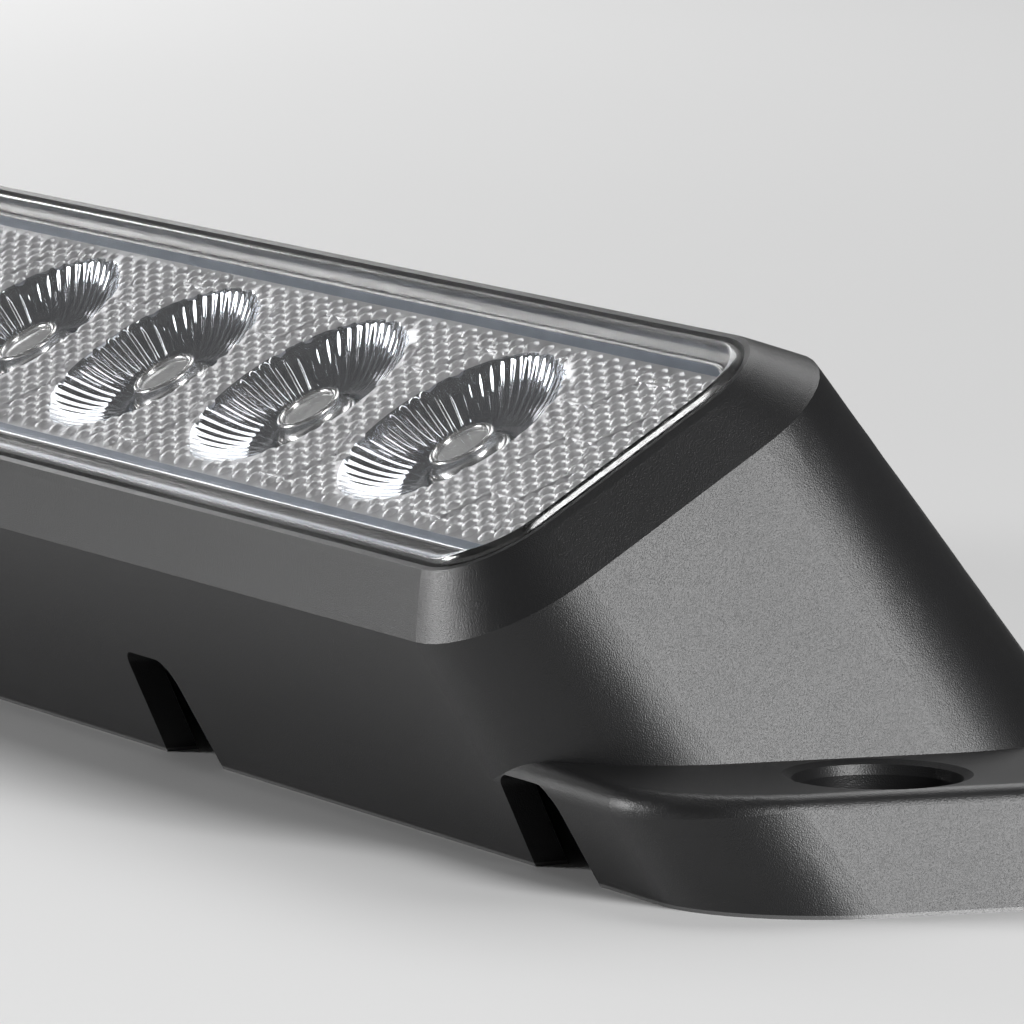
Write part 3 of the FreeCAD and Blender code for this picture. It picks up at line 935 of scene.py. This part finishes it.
def add_chip(mesh, x):
    """The square emitting chip on the floor of the collar."""
    start = len(mesh.faces)
    square = [(x + i * CHIP_HALF, j * CHIP_HALF) for i, j in ((-1, -1), (1, -1), (1, 1), (-1, 1))]
    rings = [[Vector((*spot, z)) for spot in square] for z in (CHIP_LEVEL, CHIP_LEVEL + CHIP_HEIGHT)]
    for loop in join_rings(mesh, rings):
        mesh.faces.new(loop)
    mesh.faces.ensure_lookup_table()
    for face in mesh.faces[start:]:
        face.material_index = CHIP_FINISH


def make_led_body(number, x):
    inside = COLLAR_RADIUS - COLLAR_WALL
    profile = [(SHOULDER_RADIUS, LED_FOOT)]
    profile += quarter_round(SHOULDER_RADIUS, SHOULDER_TOP, COLLAR_ROUND, False)
    profile.append((COLLAR_RADIUS, SHOULDER_TOP))
    profile += quarter_round(COLLAR_RADIUS, COLLAR_TOP, COLLAR_ROUND, False)
    profile += quarter_round(inside, COLLAR_TOP, COLLAR_ROUND, True)
    profile.append((inside, CHIP_LEVEL))
    mesh = bmesh.new()
    spin(mesh, x, profile)
    add_chip(mesh, x)
    finished_piece(f"led_body_{number}", mesh, LED_FINISHES, f"led_{number}")


def make_led_window(number, x):
    """A thin disc of gel, crowned on top."""
    radius = COLLAR_RADIUS - COLLAR_WALL - WINDOW_GAP
    under = WINDOW_EDGE - WINDOW_THICKNESS
    profile = [(radius * UNDER_SHARE, under), (radius, under)]
    for step in range(WINDOW_STEPS):
        share = 1 - step / WINDOW_STEPS
        profile.append((radius * share, WINDOW_EDGE + WINDOW_CROWN * (1 - share ** 2)))
    mesh = bmesh.new()
    spin(mesh, x, profile)
    finished_piece(f"led_glass_{number}", mesh, ["window_gel"], f"led_window_{number}")


for number, x in enumerate(LED_PLACES, start=1):
    make_led_body(number, x)
    make_led_window(number, x)

# %% [markdown]
# ## Camera
# The camera stands where the photograph was taken from: low, off the front corner, with a long lens.
# Its place and angles were fitted to the straight edges and the round cup rims.

# %% Camera
CAMERA_PLACE = Vector((546.6, -273.1, 93.76)) * MM
CAMERA_AZIMUTH = math.radians(28.48)
CAMERA_ELEVATION = math.radians(7.664)
FOCAL_PIXELS = 9493.0
IMAGE_PIXELS = 1024
SENSOR = 36.0
CLIP_START = 0.01


def make_camera():
    level = math.cos(CAMERA_ELEVATION)
    along, aside = math.cos(CAMERA_AZIMUTH), math.sin(CAMERA_AZIMUTH)
    back = Vector((along * level, -aside * level, math.sin(CAMERA_ELEVATION)))
    right = Vector((aside, along, 0))
    up = back.cross(right)
    turn = Matrix((right, up, back)).transposed().to_4x4()
    data = bpy.data.cameras.new("photo_camera")
    data.sensor_width = SENSOR
    data.sensor_fit = "HORIZONTAL"
    data.lens = FOCAL_PIXELS * SENSOR / IMAGE_PIXELS
    data.clip_start = CLIP_START
    camera = bpy.data.objects.new("photo_camera", data)
    camera.matrix_world = Matrix.Translation(CAMERA_PLACE) @ turn
    scene.collection.objects.link(camera)
    scene.camera = camera
    print("camera lens:", round(data.lens, 1), "mm")


make_camera()

# %% [markdown]
# ## Floor
# A plain pale floor, wide enough to fill the picture. It is part of the stage, not of the light.

# %% Floor
FLOOR_HALF = 3.0
FLOOR_CLOUD = 3.0


def pale_floor():
    finish = Finish("pale_floor")
    cloud = finish.noise(FLOOR_CLOUD)
    return finish.set(Base_Color=finish.mix(cloud, grey(0.70), grey(0.74)), Roughness=0.55 + cloud * 0.1)


def make_floor():
    corners = [(i * FLOOR_HALF, j * FLOOR_HALF, 0) for i, j in ((-1, -1), (1, -1), (1, 1), (-1, 1))]
    data = bpy.data.meshes.new("floor")
    data.from_pydata(corners, [], [(0, 1, 2, 3)])
    data.materials.append(pale_floor())
    floor = bpy.data.objects.new("floor", data)
    scene.collection.objects.link(floor)
    print("floor:", 2 * FLOOR_HALF, "m wide")


make_floor()

# %% [markdown]
# ## Lamps
# Bright metal shows its surroundings, so each softbox stands where a surface mirrors it. The key lights
# the end wall. The back one fills the lower left wall of each cup, as the camera sees it. The far one gives
# every pillow a light and a dark slope, and it stays low, or its upper edge would show in the lens. The
# low one lights the band under the rim, the front wall and the upper right wall of each cup. The strip
# is a faint line above.
# Each row below holds a lamp's place, its width and height in metres, and its power in watts.

# %% Lamps and world
LAMPS = {
    "key_softbox": ((0.73, 0.12, 0.31), 0.26, 0.40, 6.4),
    "back_softbox": ((-0.46, 0.46, 0.79), 0.62, 0.62, 3.9),
    "far_softbox": ((-0.75, 0.06, 0.225), 0.40, 0.17, 1.7),
    "low_softbox": ((-0.42, -0.66, 0.17), 0.24, 0.26, 4.2),
    "strip_light": ((0.05, -0.30, 0.85), 0.60, 0.03, 0.3),
}
WORLD_TONE = 0.95
WORLD_LEVEL = 0.07


def make_lamp(name, place, width, height, watts):
    """A rectangular area lamp that looks at the light."""
    data = bpy.data.lights.new(name, "AREA")
    data.shape = "RECTANGLE"
    data.size = width
    data.size_y = height
    data.energy = watts
    lamp = bpy.data.objects.new(name, data)
    lamp.location = place
    lamp.rotation_euler = (-Vector(place)).to_track_quat("-Z", "Y").to_euler()
    scene.collection.objects.link(lamp)


def make_world():
    """An even dim grey all round, so that only the softboxes show in the bright metal."""
    world = bpy.data.worlds.new("studio")
    world.use_nodes = True
    background = world.node_tree.nodes["Background"]
    background.inputs["Color"].default_value = grey(WORLD_TONE)
    background.inputs["Strength"].default_value = WORLD_LEVEL
    scene.world = world


for name, values in LAMPS.items():
    make_lamp(name, *values)
make_world()
scene.view_settings.view_transform = "Standard"
print("lamps:", sorted(LAMPS))
